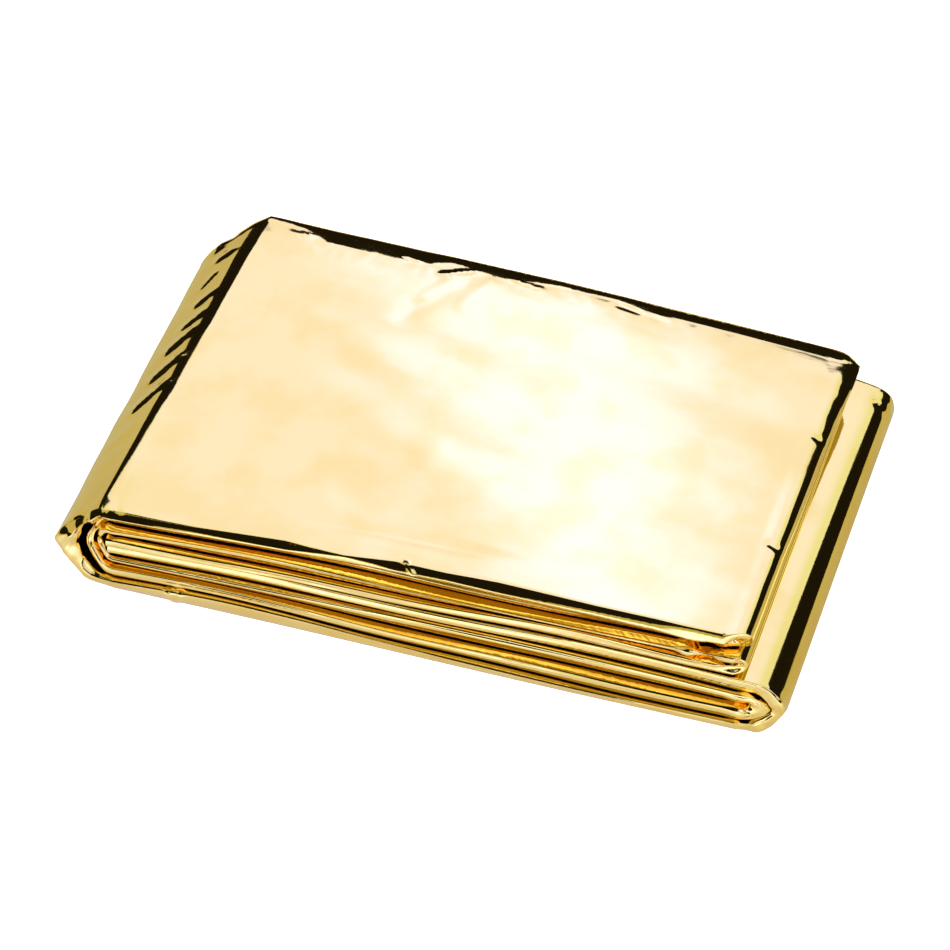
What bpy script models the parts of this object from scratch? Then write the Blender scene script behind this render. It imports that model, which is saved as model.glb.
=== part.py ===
"""Emergency foil blanket, folded flat and lying on its underside.

The blanket is one sheet of thin metallised film. It is folded lengthwise into a strip of many plies, and
the strip is then folded back and forth and closed like a book, which leaves eight runs on one another:
four in an upper bundle, which stops short at the right, and four in a lower one. The strip is one piece,
so it is one solid: a flat section with rounded folded edges, carried along one open path.

Frame: X along the pack's long side, Y from front to back, Z up. The origin is the middle of the underside.
Sizes are in millimetres and are turned into metres when the mesh is made.
"""

import math
from typing import NamedTuple

import bmesh
import bpy
import numpy as np

METRES = 0.001

WIDTH = 81.0  # the strip's width, front to back
GAP = 0.35  # clear space between one run and the next
STATION_STEP = 9.5  # distance between sections along a straight run
TURN_STEPS = 10  # sections round each turn
EDGE_STEPS = 4  # faces over a quarter of a rounded edge
EDGE_FULLNESS = 0.85  # below 1 the folded edge is fuller than an ellipse

# Where the thickness of each run is given, along X, and how much lower the pack's top lies at its back
# edge than at its front there (negative where it lies higher).
STATIONS = (-55.0, -33.0, 0.0, 31.0, 56.0)
BACK_DROP = (-2.2, -1.0, 0.3, 1.8, 2.8)


class Run(NamedTuple):
    """One straight run of the strip. All sizes are in millimetres."""

    thickness: tuple[float, ...]  # at each of STATIONS
    front: tuple[float, float]  # how far the front edge is set back, at the left and at the right
    back: tuple[float, float]  # the same for the back edge
    sway: float  # how far the front edge wanders in and out between its ends
    waves: float  # how many times it does so along the run
    front_round: float  # how far back the front edge's rounding runs
    back_round: float  # the same for the back edge


# From the top of the pack down to its underside.
RUNS = {
    "top": Run((2.6, 2.5, 2.9, 3.5, 2.5), (2.9, 3.4), (0.3, 2.5), 0.3, 1.5, 1.5, 3.2),
    "second": Run((1.8, 1.8, 2.3, 2.0, 2.3), (2.4, 2.8), (2.1, 2.7), -0.4, 2.0, 1.0, 1.1),
    "third": Run((1.6, 2.4, 1.9, 1.1, 2.0), (2.6, 3.1), (2.4, 2.5), 0.5, 1.0, 0.9, 1.0),
    "fourth": Run((1.8, 1.6, 1.7, 2.2, 2.0), (2.2, 3.2), (2.1, 2.3), -0.3, 2.5, 1.0, 1.0),
    "fifth": Run((1.9, 1.9, 1.8, 2.4, 2.6), (2.3, 2.0), (2.0, 0.5), 0.4, 1.5, 1.1, 1.0),
    "sixth": Run((1.6, 1.7, 3.2, 3.3, 2.7), (2.3, 1.9), (2.3, 1.8), -0.4, 1.0, 1.0, 1.1),
    "seventh": Run((1.9, 1.6, 1.8, 2.2, 2.3), (2.0, 2.1), (2.0, 1.9), 0.3, 2.0, 0.9, 1.0),
    "bottom": Run((2.4, 3.4, 2.4, 2.0, 2.2), (0.8, 0.7), (1.7, 0.9), 0.2, 1.0, 1.0, 1.2),
}
RUN_NAMES = tuple(RUNS)


class Turn(NamedTuple):
    """Where the strip turns back on itself, from one run to another."""

    first: str  # the run that the path comes from
    then: str  # the run that it goes on to
    x: float  # where the straight runs stop
    reach: float  # how far the turn stands out past that
    ply: float  # the strip's thickness at the middle of the turn
    tuck: tuple[float, float]  # how far its front corner and its back corner are drawn in


LEFT_END_OF_FOURTH = -55.4
LEFT_END_OF_FIFTH = -55.6

# In the order of the path, from the free end on the fourth run to the free end on the fifth.
TURNS = (
    Turn("fourth", "third", 55.5, 2.3, 1.9, (0.9, 0.9)),
    Turn("third", "sixth", -55.0, 5.0, 1.6, (0.9, 1.6)),
    Turn("sixth", "seventh", 57.5, 2.9, 2.3, (0.9, 0.9)),
    Turn("seventh", "second", -54.8, 7.4, 1.9, (0.9, 2.4)),
    Turn("second", "top", 54.8, 3.2, 2.7, (0.6, 0.4)),
    Turn("top", "bottom", -55.1, 10.6, 2.4, (0.7, 3.6)),
    Turn("bottom", "fifth", 56.5, 8.6, 2.5, (1.6, 0.9)),
)


class Sections(NamedTuple):
    """Sections across the strip along its path: arrays with a row for each section."""

    side_a: np.ndarray  # x and z on the strip's one face, which is the lower one of the fourth run
    side_b: np.ndarray  # x and z on its other face
    edges: np.ndarray  # y of the front edge and of the back edge
    rounds: np.ndarray  # length of the rounding at the front edge and at the back edge


def thickness(name, x):
    """The run's thickness at x, with an eased curve from each station to the next."""
    stations = np.array(STATIONS)
    values = np.array(RUNS[name].thickness)
    place = np.clip(x, stations[0], stations[-1])
    left = np.clip(np.searchsorted(stations, place, side="right") - 1, 0, len(stations) - 2)
    share = (place - stations[left]) / (stations[left + 1] - stations[left])
    eased = share * share * (3 - 2 * share)
    return values[left] + eased * (values[left + 1] - values[left])


def heights(name, x):
    """The z of the run's underside and of its upper side at x."""
    below = RUN_NAMES[RUN_NAMES.index(name) + 1 :]
    low = sum((thickness(other, x) + GAP for other in below), np.zeros_like(x))
    return low, low + thickness(name, x)


def edge_places(name, x):
    """The y of the run's front edge and of its back edge at x."""
    share = np.clip((x - STATIONS[0]) / (STATIONS[-1] - STATIONS[0]), 0, 1)
    run = RUNS[name]
    front = -WIDTH / 2 + run.front[0] + share * (run.front[1] - run.front[0])
    front += abs(run.sway) / 2 + run.sway / 2 * np.sin(2 * math.pi * run.waves * share)
    back = WIDTH / 2 - run.back[0] - share * (run.back[1] - run.back[0])
    return np.stack([front, back], axis=1)


def straight(name, start, end):
    """Sections of a straight run from x = start to x = end."""
    x = np.linspace(start, end, 1 + math.ceil(abs(end - start) / STATION_STEP))
    low, high = heights(name, x)
    lower, upper = np.stack([x, low], axis=1), np.stack([x, high], axis=1)
    rounds = np.tile([RUNS[name].front_round, RUNS[name].back_round], (len(x), 1))
    sides = (lower, upper) if end > start else (upper, lower)
    return Sections(*sides, edge_places(name, x), rounds)


def turned(turn):
    """Sections round a turn: the strip's two faces follow two half ellipses, one inside the other."""
    x = np.array([turn.x])
    side = math.copysign(1, turn.x)
    (low_a, high_a), (low_b, high_b) = heights(turn.first, x), heights(turn.then, x)
    goes_up = low_b[0] > low_a[0]
    outer = (low_a[0], high_b[0]) if goes_up else (high_a[0], low_b[0])
    inner = (high_a[0], low_b[0]) if goes_up else (low_a[0], high_b[0])
    angle = np.linspace(-math.pi / 2, math.pi / 2, TURN_STEPS + 1)[1:-1]
    arcs = []
    for (start, end), reach in ((outer, turn.reach), (inner, turn.reach - turn.ply)):
        middle, half = (start + end) / 2, (end - start) / 2
        arcs.append(np.stack([turn.x + side * reach * np.cos(angle), middle + half * np.sin(angle)], axis=1))
    # Side A is the path's right-hand face, so it is the outer one where the path climbs on the right.
    outer_is_a = goes_up == (side > 0)
    sides = (arcs[0], arcs[1]) if outer_is_a else (arcs[1], arcs[0])

    share = ((1 + np.sin(angle)) / 2)[:, None]
    edges = (1 - share) * edge_places(turn.first, x) + share * edge_places(turn.then, x)
    drawn_in = np.cos(angle)[:, None] * np.array([turn.tuck[0], -turn.tuck[1]])
    first, then = RUNS[turn.first], RUNS[turn.then]
    rounds = (1 - share) * [first.front_round, first.back_round] + share * [then.front_round, then.back_round]
    return Sections(*sides, edges + drawn_in, rounds)


def strip_sections():
    """All the sections of the strip, from one free end to the other."""
    pieces = []
    start = LEFT_END_OF_FOURTH
    for turn in TURNS:
        pieces.append(straight(turn.first, start, turn.x))
        pieces.append(turned(turn))
        start = turn.x
    pieces.append(straight(TURNS[-1].then, start, LEFT_END_OF_FIFTH))
    return Sections(*(np.concatenate(columns) for columns in zip(*pieces)))


def section_ring(sections):
    """Points round every section, as an array of (section, point, xyz).

    Each folded edge is a half ellipse: at an angle a from its tip, a point lies (1 - cos a) of the
    rounding's length in from the edge, and sin a, made fuller by EDGE_FULLNESS, of the way from the
    strip's middle to its face.
    """
    angle = np.linspace(0, math.pi / 2, EDGE_STEPS + 1)
    inset = 1 - np.cos(angle)
    rise = np.sin(angle) ** EDGE_FULLNESS
    front = sections.edges[:, :1] + sections.rounds[:, :1] * inset
    back = sections.edges[:, 1:] - sections.rounds[:, 1:] * inset
    y = np.concatenate([front, back[:, ::-1], back[:, 1:], front[:, :0:-1]], axis=1)
    level = np.concatenate([rise, rise[::-1], -rise[1:], -rise[:0:-1]])

    middle = (sections.side_a + sections.side_b) / 2
    half = (sections.side_a - sections.side_b) / 2
    plane = middle[:, None, :] + level[None, :, None] * half[:, None, :]
    return np.stack([plane[..., 0], y, plane[..., 1]], axis=-1)


def settle(points):
    """Lets the pack slope: every height is scaled, from the front edge to the back, by BACK_DROP."""
    x, y, z = points[..., 0], points[..., 1], points[..., 2]
    full = heights(RUN_NAMES[0], x)[1]
    drop = np.interp(x, STATIONS, BACK_DROP) * (y + WIDTH / 2) / WIDTH
    return np.stack([x, y, z * (1 - drop / full)], axis=-1)


def foil_material():
    """Gold-coloured metallised film."""
    material = bpy.data.materials.new("gold_foil")
    material.use_nodes = True
    shader = material.node_tree.nodes["Principled BSDF"]
    shader.inputs["Base Color"].default_value = (1.0, 0.72, 0.26, 1.0)
    shader.inputs["Metallic"].default_value = 1.0
    shader.inputs["Roughness"].default_value = 0.12
    return material


def foil_blanket():
    """The folded strip, as one closed mesh."""
    points = settle(section_ring(strip_sections())) * METRES
    count, around = points.shape[:2]
    row = np.arange(count - 1)[:, None] * around
    near = np.arange(around)[None, :]
    far = (near + 1) % around
    quads = np.stack([row + near, row + far, row + around + far, row + around + near], axis=-1).reshape(-1, 4)
    ends = [list(range(around)), list(range((count - 1) * around, count * around))]

    mesh = bpy.data.meshes.new("foil_blanket")
    mesh.from_pydata(points.reshape(-1, 3).tolist(), [], quads.tolist() + ends)
    closed = bmesh.new()
    closed.from_mesh(mesh)
    bmesh.ops.recalc_face_normals(closed, faces=closed.faces)
    closed.to_mesh(mesh)
    closed.free()
    mesh.materials.append(foil_material())
    mesh.shade_smooth()
    mesh.set_sharp_from_angle(angle=math.radians(35))
    blanket = bpy.data.objects.new("foil_blanket", mesh)
    bpy.context.scene.collection.objects.link(blanket)
    return blanket


def main():
    for old in list(bpy.data.objects):
        bpy.data.objects.remove(old)
    foil_blanket()


main()
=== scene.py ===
"""Emergency foil blanket, folded flat: the mirror-bright film, its folds and creases, and a plain studio.

The pack is one strip of many plies of film, folded back and forth and closed like a book. The strip is
modelled here in three stretches that follow one another along its path. Each is a closed section with
rounded folded edges, carried along the path, and then pushed in and out along its own normals by the
creases, waves and crumples of the film. Lengths are in millimetres until a mesh is made.

X runs along the pack's long side, Y from front to back, Z up, and the origin is under its middle.
"""

import logging
import math
from dataclasses import dataclass
from enum import Enum

import bpy
import numpy as np
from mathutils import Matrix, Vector


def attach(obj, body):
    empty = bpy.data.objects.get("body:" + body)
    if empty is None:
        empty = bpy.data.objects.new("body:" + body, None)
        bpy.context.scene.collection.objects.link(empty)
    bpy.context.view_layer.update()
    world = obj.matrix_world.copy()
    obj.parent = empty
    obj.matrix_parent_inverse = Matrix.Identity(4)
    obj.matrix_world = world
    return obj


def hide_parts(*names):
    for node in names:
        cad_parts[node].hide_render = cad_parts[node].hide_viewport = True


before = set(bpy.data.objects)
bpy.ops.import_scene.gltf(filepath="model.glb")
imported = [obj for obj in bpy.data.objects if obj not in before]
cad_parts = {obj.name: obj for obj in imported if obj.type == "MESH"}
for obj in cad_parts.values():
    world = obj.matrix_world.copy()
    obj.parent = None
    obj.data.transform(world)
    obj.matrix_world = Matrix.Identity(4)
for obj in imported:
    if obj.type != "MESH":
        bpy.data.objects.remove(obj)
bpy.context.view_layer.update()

NODE = "foil_blanket"
METRES = 0.001
LOG = logging.getLogger("foil_blanket")

WIDTH = 81.0  # the strip's width, front to back
GAP = 0.35  # clear space between one run and the next
STATIONS = np.array([-55.0, -33.0, 0.0, 31.0, 56.0])  # where a run's thickness is given, along X
BACK_DROP = np.array([-2.2, -1.0, 0.3, 1.8, 2.8])  # how much lower the pack is at its back edge there

Pair = tuple[float, float]
Triple = tuple[float, float, float]
Colour = tuple[float, float, float]
Grid = np.ndarray
Socket = bpy.types.NodeSocket
Value = Socket | float | tuple[float, ...]


class Mask(Enum):
    """Values kept on the meshes for the material."""

    CRINKLE = "crinkle"  # 1 on folded edges, 0 on flat faces
    CRUSH = "crush"  # 1 where the film is crushed into small facets


@dataclass(frozen=True)
class Fold:
    """The shape of a folded edge at one place along a run.

    Attributes:
        x: where along the run.
        over: how far in its upper half's rounding runs.
        crown: how full its upper half is: 1 an ellipse, below 1 boxier, above 1 flatter.
        under: how far in its lower half's rounding runs.
        belly: how full its lower half is.
        lip: how far above the middle its foremost line lies, as a share of half the thickness.
    """

    x: float
    over: float
    crown: float
    under: float
    belly: float
    lip: float

    @property
    def shape(self) -> tuple[float, ...]:
        """Over, crown, under, belly and lip."""
        return (self.over, self.crown, self.under, self.belly, self.lip)


@dataclass(frozen=True)
class Run:
    """One straight run of the strip.

    Attributes:
        thickness: the run's thickness at each of STATIONS.
        front: how far the front edge is set back, at the left and at the right.
        back: the same for the back edge.
        sway: how far the front edge wanders in and out between its ends.
        waves: how many times it does so along the run.
        front_folds: the front edge's shape along the run.
        back_folds: the back edge's shape along it.
    """

    thickness: tuple[float, ...]
    front: Pair
    back: Pair
    sway: float
    waves: float
    front_folds: tuple[Fold, ...]
    back_folds: tuple[Fold, ...]


TOP_FRONT = (
    Fold(-58.0, 1.4, 1.4, 1.6, 1.4, 0.0),
    Fold(-52.0, 1.2, 1.4, 1.7, 1.4, 0.15),
    Fold(-38.0, 0.8, 1.3, 1.7, 1.4, 0.2),
    Fold(-22.0, 1.3, 1.4, 1.6, 1.4, 0.2),
    Fold(-11.5, 0.5, 0.5, 1.4, 1.3, 0.4),
    Fold(-3.0, 1.1, 1.4, 1.6, 1.4, 0.2),
    Fold(6.0, 0.8, 1.4, 1.6, 1.4, 0.3),
    Fold(15.0, 1.2, 1.4, 1.6, 1.4, 0.2),
    Fold(32.0, 0.8, 1.4, 1.6, 1.4, 0.3),
    Fold(42.0, 0.8, 1.4, 1.4, 1.3, 0.1),
    Fold(47.5, 0.6, 1.4, 0.9, 1.1, -0.4),
)
TOP_BACK = (
    Fold(-53.0, 1.6, 1.0, 0.8, 0.8, 0.6),
    Fold(-47.0, 2.0, 1.2, 0.8, 0.8, 0.5),
    Fold(-42.0, 4.2, 1.5, 0.8, 0.8, 0.4),
    Fold(-24.0, 4.4, 1.5, 0.8, 0.8, 0.4),
    Fold(-18.0, 2.6, 1.2, 0.8, 0.8, 0.5),
    Fold(-8.0, 3.6, 1.4, 0.8, 0.8, 0.5),
    Fold(2.0, 2.0, 1.3, 0.8, 0.8, 0.6),
    Fold(14.0, 2.0, 1.3, 0.8, 0.8, 0.6),
    Fold(22.0, 3.0, 1.4, 0.8, 0.8, 0.5),
    Fold(54.0, 3.2, 1.4, 0.8, 0.8, 0.5),
)
# Lower folds: some show mostly a flat light face, others fall back below into the groove.
BROAD = (Fold(-40.0, 0.3, 0.6, 0.6, 0.9, -0.2), Fold(40.0, 0.35, 0.6, 0.6, 0.9, 0.0))
LEANING = (Fold(-40.0, 0.35, 0.6, 0.8, 1.1, 0.2), Fold(40.0, 0.4, 0.6, 0.9, 1.1, 0.3))
LINED = (Fold(-40.0, 0.35, 0.6, 1.3, 1.4, 0.4), Fold(40.0, 0.4, 0.6, 1.3, 1.4, 0.5))
SUNKEN = (Fold(-45.0, 0.4, 0.8, 1.3, 1.3, 0.8), Fold(10.0, 0.3, 0.8, 1.5, 1.3, 0.85))
FOOT = (Fold(0.0, 0.35, 0.6, 0.8, 1.4, 0.4),)
LEDGE = (Fold(0.0, 0.8, 0.8, 0.6, 0.8, 0.5),)

# From the top of the pack down to its underside.
RUNS: dict[str, Run] = {
    "top": Run((2.6, 2.5, 2.9, 3.5, 2.5), (1.0, 1.5), (0.0, 2.5), -0.6, 1.5, TOP_FRONT, TOP_BACK),
    "second": Run((1.8, 1.8, 2.3, 2.0, 2.3), (3.0, 3.2), (2.1, 2.7), -0.4, 2.0, SUNKEN, LEANING),
    "third": Run((1.6, 2.4, 1.9, 1.1, 2.0), (1.9, 2.2), (2.4, 2.5), 0.5, 1.0, LINED, BROAD),
    "fourth": Run((1.8, 1.6, 1.7, 2.2, 2.0), (1.8, 2.4), (2.1, 2.3), -0.3, 2.5, BROAD, LEANING),
    "fifth": Run((1.9, 1.9, 1.8, 2.4, 2.6), (2.3, 2.0), (2.0, -0.5), 0.4, 1.5, BROAD, LEDGE),
    "sixth": Run((1.6, 1.7, 3.2, 3.3, 2.7), (1.7, 1.4), (2.3, 1.8), -0.4, 1.0, LINED, BROAD),
    "seventh": Run((1.9, 1.6, 1.8, 2.2, 2.3), (1.1, 0.9), (2.0, 1.9), 0.3, 2.0, BROAD, LEANING),
    "bottom": Run((2.4, 3.4, 2.4, 2.0, 2.2), (0.4, 0.2), (1.7, 0.9), 0.2, 1.0, FOOT, BROAD),
}
RUN_NAMES = tuple(RUNS)
BASE_LEFT = -54.8  # x where the flat underside begins at the left
FREE_END_ABOVE = -56.0  # x where the strip ends inside the upper bundle, on the fourth run
FREE_END_BELOW = -56.1  # x where it ends inside the lower one, on the fifth run


@dataclass(frozen=True)
class Turn:
    """Where the strip turns back on itself, from one run to another.

    Attributes:
        first: the run that the path comes from.
        then: the run that it goes on to.
        x: where the straight runs stop, at the front edge and at the back edge.
        reach: how far the turn stands out past that.
        ply: the strip's thickness at the middle of the turn, at its front and at its back.
        tuck: how far its front corner and its back corner are drawn in.
        outline: the outer face's corners at the front edge and at the back edge, as (x, share of the
            turn's height from the first run to the next); empty for a plain half ellipse.
        folds: the shape of its front and its back edge at its middle, or none to run on from the runs'.
    """

    first: str
    then: str
    x: Pair
    reach: float
    ply: Pair
    tuck: Pair
    outline: tuple[tuple[Pair, ...], tuple[Pair, ...]] = ((), ())
    folds: tuple[Fold, ...] = ()

    @property
    def side(self) -> float:
        """1 at the pack's right end, -1 at its left."""
        return math.copysign(1.0, self.x[0])

    @property
    def goes_up(self) -> bool:
        """Whether the path climbs in it."""
        return RUN_NAMES.index(self.then) < RUN_NAMES.index(self.first)

    @property
    def landing(self) -> Pair:
        """Where the run that it goes on to starts, at the front edge and at the back edge."""
        return (BASE_LEFT, BASE_LEFT) if self.then == "bottom" else self.x


TURNS: dict[str, Turn] = {
    "upper_inner": Turn("fourth", "third", (55.2, 55.1), 2.4, (1.9, 1.9), (0.9, 0.9)),
    "left_inner": Turn(
        "third", "sixth", (-55.0, -55.0), 5.4, (1.6, 1.6), (0.9, 1.6),
        (((-56.4, 0.0), (-58.8, 0.48), (-56.4, 1.0)), ()),
    ),
    "lower_inner": Turn(
        "sixth", "seventh", (57.5, 57.5), 2.9, (2.3, 2.3), (0.7, 0.9),
        (((58.6, 0.0), (62.8, 0.5), (58.6, 1.0)), ()),
    ),
    "left_middle": Turn(
        "seventh", "second", (-54.8, -54.8), 7.6, (2.2, 1.8), (0.9, 2.4),
        (((-57.2, 0.0), (-61.2, 0.44), (-57.2, 0.98)), ()),
    ),
    "upper_outer": Turn(
        "second", "top", (53.6, 54.0), 4.0, (3.4, 3.4), (1.6, 0.4),
        (
            ((57.0, 0.0), (57.9, 0.25), (58.0, 0.72), (57.9, 0.80), (56.8, 1.0)),
            ((56.4, 0.0), (58.2, 0.20), (59.6, 0.52), (59.8, 0.61), (57.0, 1.0)),
        ),
    ),
    "left_outer": Turn(
        "top", "bottom", (-55.8, -52.9), 10.6, (5.0, 2.4), (0.7, 3.3),
        (
            ((-58.0, 0.0), (-64.4, 0.34), (-66.9, 0.57), (-66.8, 0.62), (-64.2, 0.86), (-60.6, 1.0)),
            ((-53.1, 0.0), (-57.2, 0.08), (-64.4, 0.40), (-66.0, 0.56), (-63.6, 0.86), (-58.5, 1.0)),
        ),
        (Fold(0.0, 1.4, 1.0, 1.8, 1.1, 0.0), Fold(0.0, 2.4, 1.3, 2.4, 1.3, 0.0)),
    ),
    "lower_outer": Turn(
        "bottom", "fifth", (56.5, 56.5), 8.6, (2.5, 2.5), (0.9, 0.1),
        (
            ((60.2, 0.0), (62.9, 0.20), (65.1, 0.45), (64.0, 0.70), (61.2, 0.94)),
            ((62.4, 0.0), (64.7, 0.20), (65.0, 0.50), (64.2, 0.76), (62.3, 0.91)),
        ),
    ),
}


def eased(share: Grid) -> Grid:
    """A smooth step: three times the square less twice the cube, of a share held between 0 and 1.

    Args:
        share: any array of numbers.

    Returns:
        The eased shares, from 0 to 1.
    """
    held = np.clip(share, 0.0, 1.0)
    return held * held * (3.0 - 2.0 * held)


def mixed(start: Grid | float, end: Grid | float, share: Grid | float) -> Grid:
    """The value a share of the way from start to end."""
    return start + (end - start) * share


def through_stations(values: Grid, x: Grid) -> Grid:
    """A smooth curve through a value at each of STATIONS.

    Between two stations it is the cubic that starts and ends at their values with their slopes; a
    station's slope is that of the line from the station before it to the one after it.

    Args:
        values: the value at each station.
        x: places along the pack.

    Returns:
        The curve at each place; it is level past the end stations.
    """
    slopes = np.gradient(values, STATIONS)
    place = np.clip(x, STATIONS[0], STATIONS[-1])
    left = np.clip(np.searchsorted(STATIONS, place, side="right") - 1, 0, len(STATIONS) - 2)
    span = STATIONS[left + 1] - STATIONS[left]
    t = (place - STATIONS[left]) / span
    rise = eased(t)
    swing = t * (1 - t) ** 2 * slopes[left] - t * t * (1 - t) * slopes[left + 1]
    return mixed(values[left], values[left + 1], rise) + span * swing


def thickness(name: str, x: Grid) -> Grid:
    """A run's thickness along it, as a smooth curve through its stations."""
    return through_stations(np.array(RUNS[name].thickness), x)


def heights(name: str, x: Grid, y_share: Grid | float = 0.0) -> tuple[Grid, Grid]:
    """The z of a run's two sides: the thicknesses and gaps below it are added up, then sloped to the back.

    Args:
        name: the run.
        x: places along the pack.
        y_share: 0 at the front edge and 1 at the back one.

    Returns:
        The underside's z and the upper side's z.
    """
    below = RUN_NAMES[RUN_NAMES.index(name) + 1 :]
    low = sum((thickness(other, x) + GAP for other in below), np.zeros_like(x))
    high = low + thickness(name, x)
    full = sum((thickness(other, x) for other in RUN_NAMES), GAP * (len(RUN_NAMES) - 1))
    slope = 1.0 - through_stations(BACK_DROP, x) * y_share / full
    return low * slope, high * slope


def edge_places(name: str, x: Grid) -> Grid:
    """The y of a run's front and back edge: a straight line with a slow sine on the front one.

    Args:
        name: the run.
        x: places along the pack.

    Returns:
        An array with a row for each place: front y, back y.
    """
    run = RUNS[name]
    share = np.clip((x - STATIONS[0]) / (STATIONS[-1] - STATIONS[0]), 0.0, 1.0)
    front = -WIDTH / 2 + mixed(run.front[0], run.front[1], share)
    front = front + abs(run.sway) / 2 + run.sway / 2 * np.sin(2 * math.pi * run.waves * share)
    back = WIDTH / 2 - mixed(run.back[0], run.back[1], share)
    return np.stack([front, back], axis=-1)


def fold_shapes(name: str, x: Grid) -> Grid:
    """The shape of a run's two folded edges at places along it.

    Args:
        name: the run.
        x: places along the pack.

    Returns:
        Over, crown, under, belly and lip, as (place, front or back, 5), read between the run's folds.
    """
    shapes = []
    for folds in (RUNS[name].front_folds, RUNS[name].back_folds):
        at = [fold.x for fold in folds]
        columns = zip(*(fold.shape for fold in folds))
        shapes.append(np.stack([np.interp(x, at, column) for column in columns], axis=-1))
    return np.stack(shapes, axis=1)


def rounded_line(corners: Grid, count: int, rounds: int = 3) -> Grid:
    """A line with its corners cut again and again, each cut at a fifth of the way, read at even steps.

    Args:
        corners: the line's corners, a row each.
        count: how many points to read.
        rounds: how many times the corners are cut.

    Returns:
        The points, a row each, with the line's own two ends.
    """
    line = corners
    for _ in range(rounds):
        near, far = mixed(line[:-1], line[1:], 0.2), mixed(line[:-1], line[1:], 0.8)
        inner = np.stack([near, far], axis=1).reshape(-1, line.shape[1])
        line = np.concatenate([line[:1], inner, line[-1:]])
    steps = np.concatenate([[0.0], np.cumsum(np.linalg.norm(np.diff(line, axis=0), axis=1))])
    at = np.linspace(0.0, steps[-1], count)
    return np.stack([np.interp(at, steps, column) for column in line.T], axis=1)


@dataclass
class Sections:
    """Sections across the strip along its path, as arrays with a row for each section.

    Attributes:
        a: x and z of face A, at the front edge and at the back edge: (section, end, 2).
        b: the same for face B.
        edges: y of the front edge and of the back edge.
        shapes: over, crown, under, belly and lip of both folded edges: (section, end, 5).
        lift: 1 where face A is above, -1 where it is below, and between them in a turn.
        place: a number for the run or turn that the section is on.
    """

    a: Grid
    b: Grid
    edges: Grid
    shapes: Grid
    lift: Grid
    place: Grid

    def cut(self, kept: slice) -> "Sections":
        """The sections that the slice keeps."""
        return Sections(*(getattr(self, name)[kept] for name in self.__dataclass_fields__))

    @staticmethod
    def joined(parts: list["Sections"]) -> "Sections":
        """The parts one after another, as one."""
        names = Sections.__dataclass_fields__
        return Sections(*(np.concatenate([getattr(part, name) for part in parts]) for name in names))

    def lengths(self) -> Grid:
        """How far along the path each section is: the added-up steps between the sections' middles.

        Returns:
            A length for each section, from 0.
        """
        middle = (self.a + self.b).mean(axis=1) / 2
        steps = np.linalg.norm(np.diff(middle, axis=0), axis=1)
        return np.concatenate([[0.0], np.cumsum(steps)])


PLACES = {name: number for number, name in enumerate((*RUNS, *TURNS))}
OWN_FOLD_POWER = 0.7  # below 1 a turn's own edge shape takes over sooner from its runs'


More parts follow.
